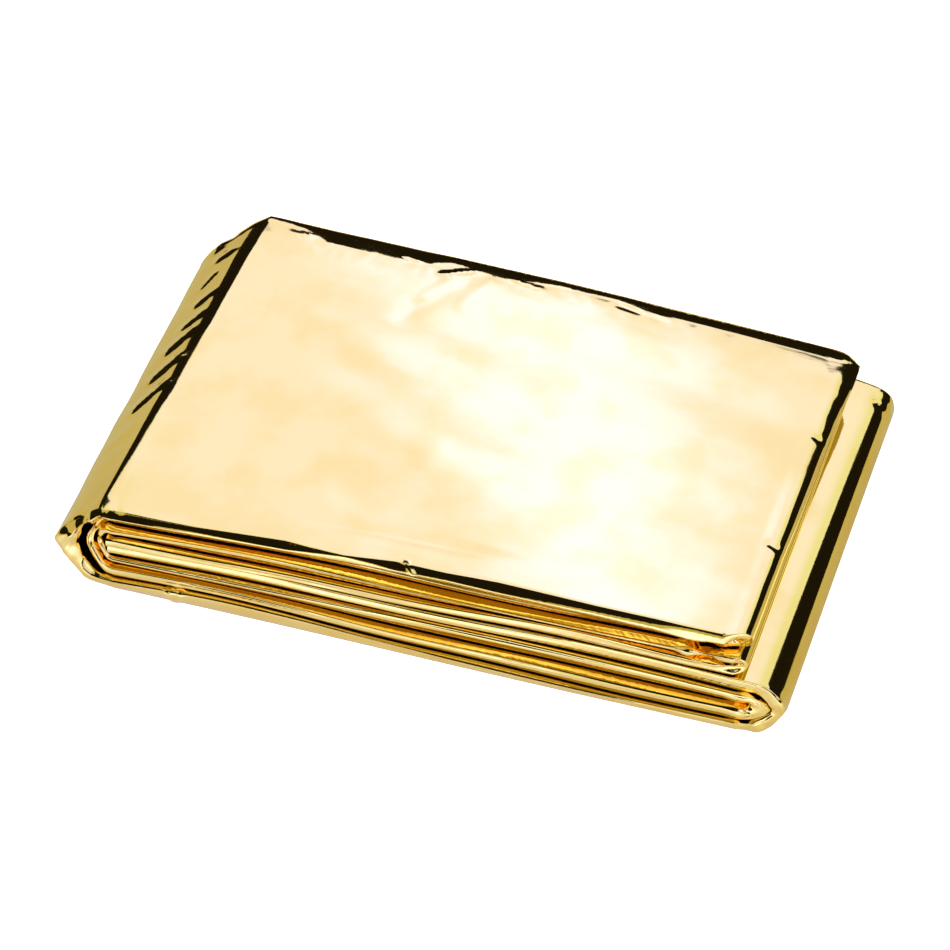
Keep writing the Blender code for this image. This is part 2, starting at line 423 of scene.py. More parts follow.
@dataclass(frozen=True)
class Path:
    """The strip's path: builds the sections of its straight runs and of its turns.

    Attributes:
        step: distance between sections.
    """

    step: float

    def straight(self, name: str, start: Pair, end: Pair, last: bool = False) -> Sections:
        """Sections of a straight run: its two sides lie at the heights that the runs below leave it.

        Args:
            name: the run.
            start: x of its start, at the front edge and at the back edge.
            end: x of its end, likewise.
            last: whether to keep the section at the very end.

        Returns:
            The sections.
        """
        count = 2 + int(abs(end[0] - start[0]) / self.step)
        x = mixed(np.array(start), np.array(end), np.linspace(0.0, 1.0, count)[:, None])
        low, high = heights(name, x, np.array([0.0, 1.0]))
        lower, upper = np.stack([x, low], axis=-1), np.stack([x, high], axis=-1)
        rightward = end[0] > start[0]
        a, b = (lower, upper) if rightward else (upper, lower)
        middle = x.mean(axis=1)
        made = Sections(
            a, b, edge_places(name, middle), fold_shapes(name, middle),
            np.full(count, -1.0 if rightward else 1.0), np.full(count, PLACES[name]),
        )
        return made if last else made.cut(slice(0, -1))

    def turn(self, name: str) -> Sections:
        """Sections round a turn: its edges and their shapes go over from the first run's to the next's.

        Args:
            name: the turn.

        Returns:
            The sections, without the one at its end.
        """
        turn = TURNS[name]
        count = 3 + int(max(self.span(turn, end) for end in (0, 1)) / self.step)
        angle = np.linspace(-math.pi / 2, math.pi / 2, count)
        share = ((1 + np.sin(angle)) / 2)[:, None]
        x = np.array([turn.x[0]])
        edges = mixed(edge_places(turn.first, x), edge_places(turn.then, x), share)
        edges = edges + np.cos(angle)[:, None] * np.array([turn.tuck[0], -turn.tuck[1]])
        shapes = mixed(fold_shapes(turn.first, x), fold_shapes(turn.then, x), share[..., None])
        if turn.folds:
            own = np.array([fold.shape for fold in turn.folds])
            shapes = mixed(shapes, own, (np.cos(angle) ** OWN_FOLD_POWER)[:, None, None])
        lift, place = turn.side * np.sin(angle), np.full(count, PLACES[name])
        return Sections(*self.faces(turn, angle), edges, shapes, lift, place).cut(slice(0, -1))

    def faces(self, turn: Turn, angle: Grid) -> tuple[Grid, Grid]:
        """The strip's two faces round a turn: the inner one is the outer one drawn in by its thickness.

        Args:
            turn: the turn.
            angle: an angle for each section, from a quarter turn below 0 to a quarter above.

        Returns:
            Face A and face B, as in Sections.
        """
        outer, inner = [], []
        for end in (0, 1):
            x = np.array([turn.x[end]])
            (low_a, high_a), (low_b, high_b) = heights(turn.first, x, end), heights(turn.then, x, end)
            out = (low_a[0], high_b[0]) if turn.goes_up else (high_a[0], low_b[0])
            into = (high_a[0], low_b[0]) if turn.goes_up else (low_a[0], high_b[0])
            outer.append(self.face_line(turn, end, out, 0.0, angle))
            inner.append(self.face_line(turn, end, into, turn.ply[end], angle))
        outer_line, inner_line = np.stack(outer, axis=1), np.stack(inner, axis=1)
        return (outer_line, inner_line) if turn.goes_up == (turn.side > 0) else (inner_line, outer_line)

    @staticmethod
    def face_line(turn: Turn, end: int, heights_there: Pair, ply: float, angle: Grid) -> Grid:
        """A face's line round a turn at one edge: rounded through its outline's corners, or a half ellipse.

        Args:
            turn: the turn.
            end: 0 for the front edge, 1 for the back one.
            heights_there: z of the line's two ends.
            ply: how far the line is drawn in from the turn's reach.
            angle: an angle for each point.

        Returns:
            The points' x and z.
        """
        start, reach = turn.x[end], turn.reach - ply
        low, high = heights_there
        knots = turn.outline[end]
        if not knots:
            out, rise = turn.side * reach * np.cos(angle), (high - low) / 2 * np.sin(angle)
            return np.stack([start + out, (low + high) / 2 + rise], axis=1)
        corners = [(start + (x - start) * (reach / turn.reach), mixed(low, high, rise)) for x, rise in knots]
        return rounded_line(np.array([(start, low), *corners, (turn.landing[end], high)]), len(angle))

    @staticmethod
    def span(turn: Turn, end: int) -> float:
        """Roughly how long a turn is: a quarter circle's length for its reach and for half its height.

        Args:
            turn: the turn.
            end: 0 for the front edge, 1 for the back one.

        Returns:
            The length.
        """
        x = np.array([turn.x[end]])
        tall = abs(heights(turn.first, x, end)[0][0] - heights(turn.then, x, end)[1][0])
        return math.pi / 2 * (turn.reach + tall / 2)

    def route(self, turns: tuple[str, ...], start: float, end: float) -> Sections:
        """Runs and turns one after another.

        Args:
            turns: the turns, in the path's order.
            start: x where the run before the first turn starts.
            end: x where the run after the last turn ends.

        Returns:
            Their sections.
        """
        parts = []
        here = (start, start)
        for name in turns:
            turn = TURNS[name]
            parts += [self.straight(turn.first, here, turn.x), self.turn(name)]
            here = turn.landing
        parts.append(self.straight(turn.then, here, (end, end), last=True))
        return Sections.joined(parts)


CELLS = 64  # cells along each side of the lattice, after which it repeats
FACET_BEND = (0.35, 0.30)  # how far the facets' lattice lines wander, in cells


def lattice(seed: int) -> Grid:
    """A square table of random numbers from -1 to 1."""
    return np.random.default_rng(seed).uniform(-1.0, 1.0, (CELLS, CELLS))


def facets(u: Grid, v: Grid, seed: int) -> Grid:
    """Flat facets: random heights on a bent triangle lattice, with straight slopes between them.

    Args:
        u: one coordinate in lattice cells, of any shape.
        v: the other one.
        seed: picks the heights.

    Returns:
        Heights from -1 to 1, of the same shape.
    """
    table = lattice(seed)
    p = u + FACET_BEND[0] * np.sin(1.7 * v + seed)
    q = v + FACET_BEND[1] * np.sin(1.3 * u + 2.0 * seed)
    i, j = np.floor(p).astype(int), np.floor(q).astype(int)
    s, t = p - i, q - j
    i, j, i_next, j_next = i % CELLS, j % CELLS, (i + 1) % CELLS, (j + 1) % CELLS
    corner, far = table[i, j], table[i_next, j_next]
    across, along = table[i_next, j], table[i, j_next]
    lower = corner + s * (across - corner) + t * (along - corner)
    upper = far + (1 - s) * (along - far) + (1 - t) * (across - far)
    return np.where(s + t < 1.0, lower, upper)


def waves(u: Grid, v: Grid, seed: int) -> Grid:
    """Soft waves: random heights on a square lattice, with eased slopes between them.

    Args:
        u: one coordinate in lattice cells, of any shape.
        v: the other one.
        seed: picks the heights.

    Returns:
        Heights from -1 to 1, of the same shape.
    """
    table = lattice(seed)
    i, j = np.floor(u).astype(int), np.floor(v).astype(int)
    s, t = eased(u - i), eased(v - j)
    i, j, i_next, j_next = i % CELLS, j % CELLS, (i + 1) % CELLS, (j + 1) % CELLS
    near = mixed(table[i, j], table[i_next, j], s)
    far = mixed(table[i, j_next], table[i_next, j_next], s)
    return mixed(near, far, t)


@dataclass(frozen=True)
class Crease:
    """A trough or ridge in the film.

    Attributes:
        start: x and y of one end.
        end: x and y of the other end.
        rise: its height, below 0 for a trough.
        spread: how far from its line it fades.
        lean: below 1 its side to the left of start-to-end is that much steeper; 0 for a soft bell.
    """

    EASED = 0.3  # share of its length over which each end is eased off

    start: Pair
    end: Pair
    rise: float
    spread: float
    lean: float = 0.0

    def relief(self, x: Grid, y: Grid) -> Grid:
        """Its height over the sheet: a bell or a tent across its line, eased off to its two ends.

        Args:
            x: places along the pack.
            y: places across it.

        Returns:
            The height at each place.
        """
        (x0, y0), (x1, y1) = self.start, self.end
        length = math.hypot(x1 - x0, y1 - y0)
        along = ((x - x0) * (x1 - x0) + (y - y0) * (y1 - y0)) / length
        across = ((y - y0) * (x1 - x0) - (x - x0) * (y1 - y0)) / length
        eased_over = self.EASED * length
        ends = eased(along / eased_over) * eased((length - along) / eased_over)
        if self.lean:
            steep = np.where(across > 0, self.spread * self.lean, self.spread)
            profile = np.clip(1.0 - np.abs(across) / steep, 0.0, 1.0)
        else:
            profile = np.exp(-((across / self.spread) ** 2))
        return self.rise * profile * ends


@dataclass(frozen=True)
class Crumple:
    """A place where the film is crushed into facets.

    Attributes:
        centre: its middle.
        radii: how far it reaches along X, Y and Z.
        rise: the facets' height.
        cell: the facets' size.
        seed: picks the facets.
    """

    FADE = 1.6  # above 1 the mask is full for some way out from the middle
    SKEW = (0.55, 0.8, -0.75)  # how much of z, of y and of z the facets' two coordinates take in

    centre: Triple
    radii: Triple
    rise: float
    cell: float
    seed: int

    def mask(self, points: Grid) -> Grid:
        """Its share at each point: 1 in its middle to 0 at its border, by the distance in radii."""
        away = np.linalg.norm((points - np.array(self.centre)) / np.array(self.radii), axis=-1)
        return eased(self.FADE * (1.0 - away))

    def relief(self, points: Grid) -> Grid:
        """Its height: facets over space seen askew, so that no face lies along them, times its mask.

        Args:
            points: places, with the last axis for x, y and z.

        Returns:
            The height at each point.
        """
        x, y, z = points[..., 0], points[..., 1], points[..., 2]
        z_across, y_along, z_along = self.SKEW
        u, v = (x + z_across * z) / self.cell, (y_along * y + z_along * z) / self.cell
        return self.rise * facets(u, v, self.seed) * self.mask(points)


@dataclass(frozen=True)
class Press:
    """A corner that is pressed flat against a plane.

    Attributes:
        centre: a point of the plane.
        facing: the plane's outward direction.
        radii: how far the press reaches along X, Y and Z.
    """

    KEPT = 0.06  # share of the height over the plane that is left
    FADE = 3.0  # how soon the press is full, from its border inwards

    centre: Triple
    facing: Triple
    radii: Triple

    def applied(self, points: Grid) -> Grid:
        """The points after it: what stands over the plane is drawn back to it, less so at its border.

        Args:
            points: places, with the last axis for x, y and z.

        Returns:
            The places after it.
        """
        outward = np.array(self.facing) / math.hypot(*self.facing)
        away = points - np.array(self.centre)
        over = (away @ outward).clip(0.0)
        held = eased(self.FADE * (1.0 - np.linalg.norm(away / np.array(self.radii), axis=-1)))
        return points - ((1.0 - self.KEPT) * over * held)[..., None] * outward


# The panel's and the wrap's creases.
CREASES = (
    Crease((-28.0, -31.9), (20.0, -31.7), -0.10, 1.3),
    Crease((-11.0, 37.0), (-19.5, 33.0), 0.25, 0.9, 0.5),
    Crease((-14.0, 36.0), (-21.0, 24.0), 0.10, 1.5),
    Crease((-15.0, 34.0), (-23.0, 18.0), -0.10, 2.2),
    Crease((-9.0, 36.0), (-13.0, 24.0), 0.07, 1.8),
    Crease((-4.0, -4.0), (-11.0, -31.0), 0.05, 3.0),
    Crease((-2.8, -37.2), (0.6, -39.2), 0.35, 0.5, 0.6),
    Crease((-48.5, 36.6), (-42.5, 37.2), 0.16, 0.7, 0.5),
    Crease((-27.0, 37.0), (-22.0, 36.0), 0.18, 0.5, 0.6),
    Crease((-6.5, 36.6), (1.5, 35.2), 0.18, 0.6, 0.6),
    Crease((13.0, 36.2), (19.5, 34.8), -0.20, 0.6, 0.6),
    Crease((15.0, 36.4), (25.5, 35.2), 0.16, 0.6, 0.6),
    Crease((55.2, 14.6), (58.4, 13.0), -0.25, 0.9, 0.6),
    Crease((54.6, -14.0), (57.6, -15.6), -0.25, 0.9, 0.6),
    Crease((-45.0, 12.0), (10.0, 6.0), 0.04, 4.0),
    Crease((-20.0, -12.0), (40.0, -20.0), 0.05, 5.0),
    Crease((-56.4, 32.2), (-61.8, 29.6), 0.34, 2.2, 0.38),
    Crease((-58.6, 27.4), (-61.8, 21.6), 0.22, 2.0, 0.35),
    Crease((-56.0, 20.6), (-61.2, 16.4), 0.34, 2.2, 0.40),
    Crease((-55.6, 15.0), (-61.4, 9.6), 0.42, 2.6, 0.34),
    Crease((-55.2, 10.4), (-62.6, 3.8), 0.46, 2.9, 0.33),
    Crease((-55.0, 3.6), (-63.2, -3.8), 0.48, 3.0, 0.33),
    Crease((-55.2, -3.4), (-63.4, -12.0), 0.42, 2.8, 0.34),
    Crease((-58.0, -14.0), (-64.8, -19.6), 0.20, 1.6),
    Crease((-59.0, -20.0), (-64.8, -26.0), 0.12, 2.0),
)

CRUMPLES = (
    Crumple((-59.8, -39.0, 9.0), (7.0, 6.0, 10.0), 0.8, 3.6, 3),
    Crumple((-57.0, -39.0, 18.0), (5.0, 4.0, 3.5), 0.6, 2.6, 5),
    Crumple((-43.5, -40.0, 2.0), (2.4, 3.0, 2.6), 0.8, 1.6, 11),
    Crumple((-62.0, 37.5, 13.0), (6.0, 5.5, 8.0), 0.5, 2.8, 8),
    Crumple((57.0, 37.0, 16.0), (4.0, 3.0, 5.0), 0.3, 2.4, 21),
    Crumple((51.0, -39.0, 16.0), (8.0, 5.0, 4.0), 1.1, 3.6, 13),
    Crumple((60.5, -39.0, 4.5), (7.0, 5.0, 6.0), 0.9, 3.4, 17),
    Crumple((64.0, 38.0, 7.0), (4.0, 4.0, 5.0), 0.3, 2.6, 19),
)

PRESSES = (
    Press((-64.4, -36.7, 11.1), (-0.50, -0.65, 0.57), (7.0, 7.0, 10.0)),
    Press((-59.2, -36.5, 16.6), (-0.55, -0.50, 0.67), (5.0, 4.0, 4.5)),
    Press((-63.5, -39.0, 5.1), (-0.72, -0.42, -0.55), (5.0, 5.0, 6.0)),
    Press((57.9, 36.7, 17.0), (0.47, 0.88, 0.10), (5.0, 5.0, 6.0)),
    Press((65.3, 40.7, 8.0), (0.62, 0.78, 0.10), (3.5, 3.5, 8.0)),
    Press((-58.6, 37.2, 16.5), (-0.60, 0.75, 0.25), (6.0, 5.0, 6.0)),
    Press((60.4, -31.5, 10.5), (0.50, -0.04, 0.86), (4.0, 4.5, 4.0)),
    Press((57.8, -37.8, 19.0), (0.55, -0.78, 0.30), (4.0, 4.0, 4.0)),
    Press((55.5, -38.6, 15.0), (0.20, -0.80, -0.55), (5.0, 4.0, 3.5)),
    Press((61.6, -38.9, 8.2), (0.36, -0.70, 0.62), (4.5, 4.0, 4.0)),
    Press((63.3, -39.9, 2.0), (0.60, -0.62, -0.50), (4.0, 4.0, 4.0)),
)


@dataclass
class Surface:
    """The points of a stretch, as (section, point), and where each one is.

    Attributes:
        points: their places.
        edge: 1 at the tip of a folded edge, 0 on the flat faces.
        round: how far round a folded edge, from -1 on face B to 1 on face A.
        level: -1 on face B to 1 on face A.
        along: how far along the strip's whole path.
        place: the number of the run or turn.
    """

    OUTSIDE = ("top", "left_outer", "upper_outer")  # the run and the turns of the pack's upper outside
    UPPER_FROM = 6.0  # z from which the outside counts as the upper one
    RIB = 0.13  # height of the broad ribs
    RIB_SIZES = ((1.0, 34.0, 2.6, 5), (0.35, 17.0, 5.3, 6))  # share of that, length, count on an edge, seed
    RIB_REACH = 1.6  # above 1 the ribs are full for some way round an edge
    RIB_BORDER = 0.6  # level up to which the outer sheet has them
    EDGE_CALM = 0.6  # how much less the panel's own relief is at the tip of an edge

    points: Grid
    edge: Grid
    round: Grid
    level: Grid
    along: Grid
    place: Grid

    def ribs(self, outside: Grid) -> Grid:
        """Thin ribs that run on along the folded edges, like the plies inside.

        They are soft waves of two sizes, over the way along the path and the way round the edge.

        Args:
            outside: whether each section is on the pack's outside, whose upper face has none.

        Returns:
            Their height at each point.
        """
        along = self.along[:, None]
        ribs = sum(
            share * waves(along / length, self.round * count, seed)
            for share, length, count, seed in self.RIB_SIZES
        )
        kept = np.where(outside, np.clip(self.RIB_BORDER - self.level, 0.0, 1.0), 1.0)
        return self.RIB * ribs * eased(self.RIB_REACH * self.edge) * kept

    def panel(self) -> Grid:
        """The top panel's own height: slow waves, a fall towards its borders, and ragged facets there.

        Past the line where a border's fall starts, the panel lies lower by half the square of how far a
        point is over it, in that border's own measure.

        Returns:
            The height at each point.
        """
        x, y = self.points[..., 0], self.points[..., 1]
        slow = waves(x / 30.0 + 0.02 * y, y / 9.0 + 0.03 * x, 31)
        height = 0.11 * slow + 0.03 * waves(x / 11.0, y / 4.5, 32)
        right, left, back = (x - 46.0) / 22.0, (-50.0 - x + 0.03 * y) / 7.0, (y - 27.0) / 14.0
        back_right = (np.minimum(x, 56.2) - 51.5) / 4.5 * eased((y + 8.0) / 34.0) * 0.6
        falls = (right, back_right, left, back)
        height = height - sum(0.5 * fall.clip(0.0, 1.2) ** 2 for fall in falls)
        by_back = eased((y - 31.0) / 4.0) * eased((46.0 - x) / 9.0)
        by_right = eased((x - 52.0) / 3.0) * eased((y + 5.0) / 30.0)
        ragged = 0.035 * facets(x / 3.1, y / 2.6, 33) + 0.015 * waves(x / 1.3, y / 1.6, 34)
        return height + ragged * np.maximum(by_back, by_right)

    def relief(self) -> tuple[Grid, Grid]:
        """How far each point is pushed out, and how crushed the film is there.

        The folded edges have ribs, the top panel has its own height, less so round its edges, and the
        creases and the crumples are added where they lie.

        Returns:
            The push, in millimetres, and the crushing, from 0 to 1.
        """
        x, y, z = self.points[..., 0], self.points[..., 1], self.points[..., 2]
        outside = np.isin(self.place, [PLACES[name] for name in self.OUTSIDE])[:, None]
        upper = outside & (self.level > 0.0) & (z > self.UPPER_FROM)
        laid = sum(crease.relief(x, y) for crease in CREASES)
        own = self.panel() * (1 - self.EDGE_CALM * self.edge)
        push = self.ribs(outside) + np.where(upper, own + laid, 0.0)
        crush = np.zeros_like(x)
        for crumple in CRUMPLES:
            push = push + crumple.relief(self.points)
            crush = np.maximum(crush, crumple.mask(self.points))
        return push, crush


@dataclass
class Stretch:
    """One stretch of the strip: a closed section carried along part of the path.

    Attributes:
        name: the piece's name.
        sections: the sections along its path.
        edge_points: points over half a folded edge.
        face_points: points across face A and across face B, between the edges.
        start: how far along the strip's whole path it starts.
    """

    RIGHT_BEND = 1.7  # at the right end the front outline holds on further towards the back
    BEND_FROM = 20.0  # x where it starts to do so
    BEND_OVER = 30.0  # length over which that comes in
    PAST_BACK = 1.02  # how far back an edge may lie, as a share of the strip's width

    name: str
    sections: Sections
    edge_points: int
    face_points: tuple[int, int]
    start: float

    @staticmethod
    def ring(front_a: Grid, face_a: Grid, back_a: Grid, back_b: Grid, face_b: Grid, front_b: Grid) -> Grid:
        """Joins values on a section's six parts in their order round it, with each tip's value once.

        Args:
            front_a: values from the front edge's tip up to face A.
            face_a: values across face A, from front to back.
            back_a: values from the back edge's tip up to face A.
            back_b: values from that tip down to face B.
            face_b: values across face B, from back to front.
            front_b: values from the front edge's tip down to face B.

        Returns:
            The values round the section, from the front edge's tip.
        """
        parts = (front_a, face_a, back_a[..., ::-1], back_b[..., 1:], face_b, front_b[..., :0:-1])
        return np.concatenate(parts, axis=-1)

    def outlines(self, angle: Grid) -> tuple[Grid, Grid]:
        """Every section's outline.

        Each folded edge is two quarters of a fuller or flatter ellipse that meet at its foremost line. At
        an angle from that line a point lies in from the edge by the depth (over or under) times one less
        the cosine, and towards the face by the sine; both are raised to the crown or the belly.

        Args:
            angle: the angles from an edge's tip to a face.

        Returns:
            The y of each point, and its level, from -1 on face B to 1 on face A.
        """
        sec = self.sections
        up = ((1 + sec.lift) / 2)[:, None]
        over, crown, under, belly, lip = (sec.shapes[..., column] for column in range(5))
        lip = lip * sec.lift[:, None]
        y, level = {}, {}
        for end, inward in ((0, 1.0), (1, -1.0)):
            for face, share, sign in (("a", up, 1.0), ("b", 1.0 - up, -1.0)):
                bent = mixed(belly, crown, share)[:, end, None]
                depth = mixed(under, over, share)[:, end, None]
                inset = depth * (1.0 - np.cos(angle).clip(0.0) ** bent)
                y[face, end] = sec.edges[:, end, None] + inward * inset
                level[face, end] = lip[:, end, None] + (sign - lip[:, end, None]) * np.sin(angle) ** bent
        inner_a, inner_b = (np.linspace(0.0, 1.0, count + 2)[None, 1:-1] for count in self.face_points)
        over_a = mixed(y["a", 0][:, -1:], y["a", 1][:, -1:], inner_a)
        over_b = mixed(y["b", 1][:, -1:], y["b", 0][:, -1:], inner_b)
        flat_a, flat_b = np.ones_like(over_a), -np.ones_like(over_b)
        return (
            self.ring(y["a", 0], over_a, y["a", 1], y["b", 1], over_b, y["b", 0]),
            self.ring(level["a", 0], flat_a, level["a", 1], level["b", 1], flat_b, level["b", 0]),
        )

    def surface(self) -> Surface:
        """The points round every section, before any relief.

        Across the strip a section goes evenly from its front outline to its back one; near the right end
        its x does so by a power of the share, so that it stays near the front outline for longer.

        Returns:
            The surface.
        """
        sec = self.sections
        quarter = math.pi / 2
        angle = np.linspace(0.0, quarter, self.edge_points + 1)
        y, level = self.outlines(angle)
        flat_a, flat_b = (np.full(count, quarter) for count in self.face_points)
        turned = self.ring(angle, flat_a, angle, -angle, -flat_b, -angle) * np.ones_like(y)
        share = ((y + WIDTH / 2) / WIDTH).clip(0.0, self.PAST_BACK)
        bend = 1.0 + self.RIGHT_BEND * eased((sec.a[:, 0, 0] - self.BEND_FROM) / self.BEND_OVER)
        shares = np.stack([share ** bend[:, None], share], axis=-1)
        a, b = (mixed(face[:, None, 0], face[:, None, 1], shares) for face in (sec.a, sec.b))
        plane = (a + b) / 2 + level[..., None] * (a - b) / 2
        points = np.stack([plane[..., 0], y, plane[..., 1]], axis=-1)
        edge, along = np.cos(turned).clip(0.0), self.start + sec.lengths()
        return Surface(points, edge, turned / quarter, level, along, sec.place)

    @staticmethod
    def normals(points: Grid) -> Grid:
        """Outward normals of a grid of rings: the cross product of its two central differences.

        Args:
            points: the rings' points, as (ring, point, xyz).

        Returns:
            A unit vector for each point.
        """
        along = np.gradient(points, axis=0)
        around = np.roll(points, -1, axis=1) - np.roll(points, 1, axis=1)
        cross = np.cross(around, along)
        return cross / np.maximum(np.linalg.norm(cross, axis=-1, keepdims=True), 1e-9)

    def build(self, material: bpy.types.Material) -> bpy.types.Object:
        """Makes the stretch's mesh, with its relief and its masks.

        Args:
            material: its finish.

        Returns:
            The piece.
        """
        surface = self.surface()
        push, crush = surface.relief()
        points = surface.points + self.normals(surface.points) * push[..., None]
        for press in PRESSES:
            points = press.applied(points)
        points[..., 2] = np.maximum(points[..., 2], 0.0)
        piece = closed_tube(self.name, points * METRES, {Mask.CRINKLE: surface.edge, Mask.CRUSH: crush})
        piece.data.materials.append(material)
        return piece


SHARP_FROM = 62.0  # angle between faces, in degrees, from which their edge is shaded sharp


def closed_tube(name: str, points: Grid, masks: dict[Mask, Grid]) -> bpy.types.Object:
    """A tube of rings, closed at both ends by a fan to the end ring's middle.

    Args:
        name: the object's name.
        points: the rings' points as (ring, point, xyz), in metres.
        masks: values to keep on the points.

    Returns:
        The object, linked to the scene.
    """
    rings, around = points.shape[:2]
    total = rings * around
    near = np.arange(around)
    far = (near + 1) % around
    row = np.arange(rings - 1)[:, None] * around
    quads = np.stack([row + near, row + around + near, row + around + far, row + far], axis=-1)
    last = total - around
    start_fan = np.stack([near, far, np.full(around, total)], axis=1)
    end_fan = np.stack([last + far, last + near, np.full(around, total + 1)], axis=1)
    loops = np.concatenate([quads.ravel(), start_fan.ravel(), end_fan.ravel()])
    sizes = np.concatenate([np.full((rings - 1) * around, 4), np.full(2 * around, 3)])
    vertices = np.concatenate([points.reshape(-1, 3), points[:1].mean(axis=1), points[-1:].mean(axis=1)])

    mesh = bpy.data.meshes.new(name)
    mesh.vertices.add(len(vertices))
    mesh.vertices.foreach_set("co", vertices.ravel())
    mesh.loops.add(len(loops))
    mesh.loops.foreach_set("vertex_index", loops)
    mesh.polygons.add(len(sizes))
    mesh.polygons.foreach_set("loop_start", np.concatenate([[0], np.cumsum(sizes)[:-1]]))
    mesh.update(calc_edges=True)
    mesh.validate()
    mesh.shade_smooth()
    mesh.set_sharp_from_angle(angle=math.radians(SHARP_FROM))
    for mask, values in masks.items():
        attribute = mesh.attributes.new(mask.value, "FLOAT", "POINT")
        attribute.data.foreach_set("value", np.concatenate([values.ravel(), [0.0, 0.0]]))
    piece = bpy.data.objects.new(name, mesh)
    bpy.context.scene.collection.objects.link(piece)
    return piece


@dataclass(frozen=True)
class Wires:
    """Makes and joins the nodes of a node tree."""

    tree: bpy.types.NodeTree

    def put(self, value: Value, socket: Socket) -> None:
        """Joins a socket, or sets its constant.

        Args:
            value: another node's output, or the constant.
            socket: the input that takes it.
        """
        if isinstance(value, (int, float, tuple)):
            socket.default_value = value
        else:
            self.tree.links.new(value, socket)

    def node(self, kind: str, inputs: dict[str | int, Value], operation: str = "") -> bpy.types.Node:
        """A node with its inputs joined or set.

        Args:
            kind: its type, without the "ShaderNode" that all of them start with.
            inputs: what its inputs take, by their names or numbers.
            operation: a math node's operation.

        Returns:
            The node.
        """
        node = self.tree.nodes.new("ShaderNode" + kind)
        if operation:
            node.operation = operation
        for key, value in inputs.items():
            self.put(value, node.inputs[key])
        return node

    def given(self, kind: str, output: str) -> Socket:
        """An output of a node that needs no inputs."""
        return self.node(kind, {}).outputs[output]

    def parts(self, vector: Socket) -> tuple[Socket, ...]:
        """A vector's x, y and z."""
        return tuple(self.node("SeparateXYZ", {0: vector}).outputs)

    def op(self, operation: str, *values: Socket | float) -> Socket:
        """A math node's output, from its operation and its inputs in order."""
        return self.node("Math", dict(enumerate(values)), operation).outputs[0]

    def vector(self, operation: str, *values: Socket | Colour) -> Socket:
        """A vector math node's first output, from its operation and its inputs in order."""
        return self.node("VectorMath", dict(enumerate(values)), operation).outputs[0]

    def scaled(self, value: Socket | Colour, by: Socket | float) -> Socket:
        """A vector times a number."""
        return self.node("VectorMath", {0: value, "Scale": by}, "SCALE").outputs[0]

    def moved(self, colour: Socket | Colour, start: Colour, end: Colour, share: Socket) -> Socket:
        """A colour moved on by a share of the way from one colour to another.

        Args:
            colour: the colour.
            start: where the way starts.
            end: where it ends.
            share: the share.

        Returns:
            The new colour.
        """
        way = tuple(there - here for here, there in zip(start, end))
        return self.vector("ADD", colour, self.scaled(way, share))

    def step(self, value: Socket, start: float, end: float, low: float = 0.0, high: float = 1.0) -> Socket:
        """A smooth step from low at start to high at end.

        Args:
            value: what is stepped.
            start: where the step starts.
            end: where it ends.
            low: the value at the start.
            high: the value at the end.

        Returns:
            The stepped value.
        """
        (lower, first), (upper, second) = sorted(((start, low), (end, high)))
        inputs = {"Value": value, "From Min": lower, "From Max": upper, "To Min": first, "To Max": second}
        node = self.node("MapRange", inputs)
        node.interpolation_type = "SMOOTHSTEP"
        return node.outputs["Result"]

    def noise(self, vector: Socket, scale: float, detail: float, output: str = "Fac") -> Socket:
        """A noise texture over a vector.

        Args:
            vector: where it is read.
            scale: its scale.
            detail: its detail.
            output: which output to give.

        Returns:
            That output.
        """
        return self.node("TexNoise", {"Vector": vector, "Scale": scale, "Detail": detail}).outputs[output]


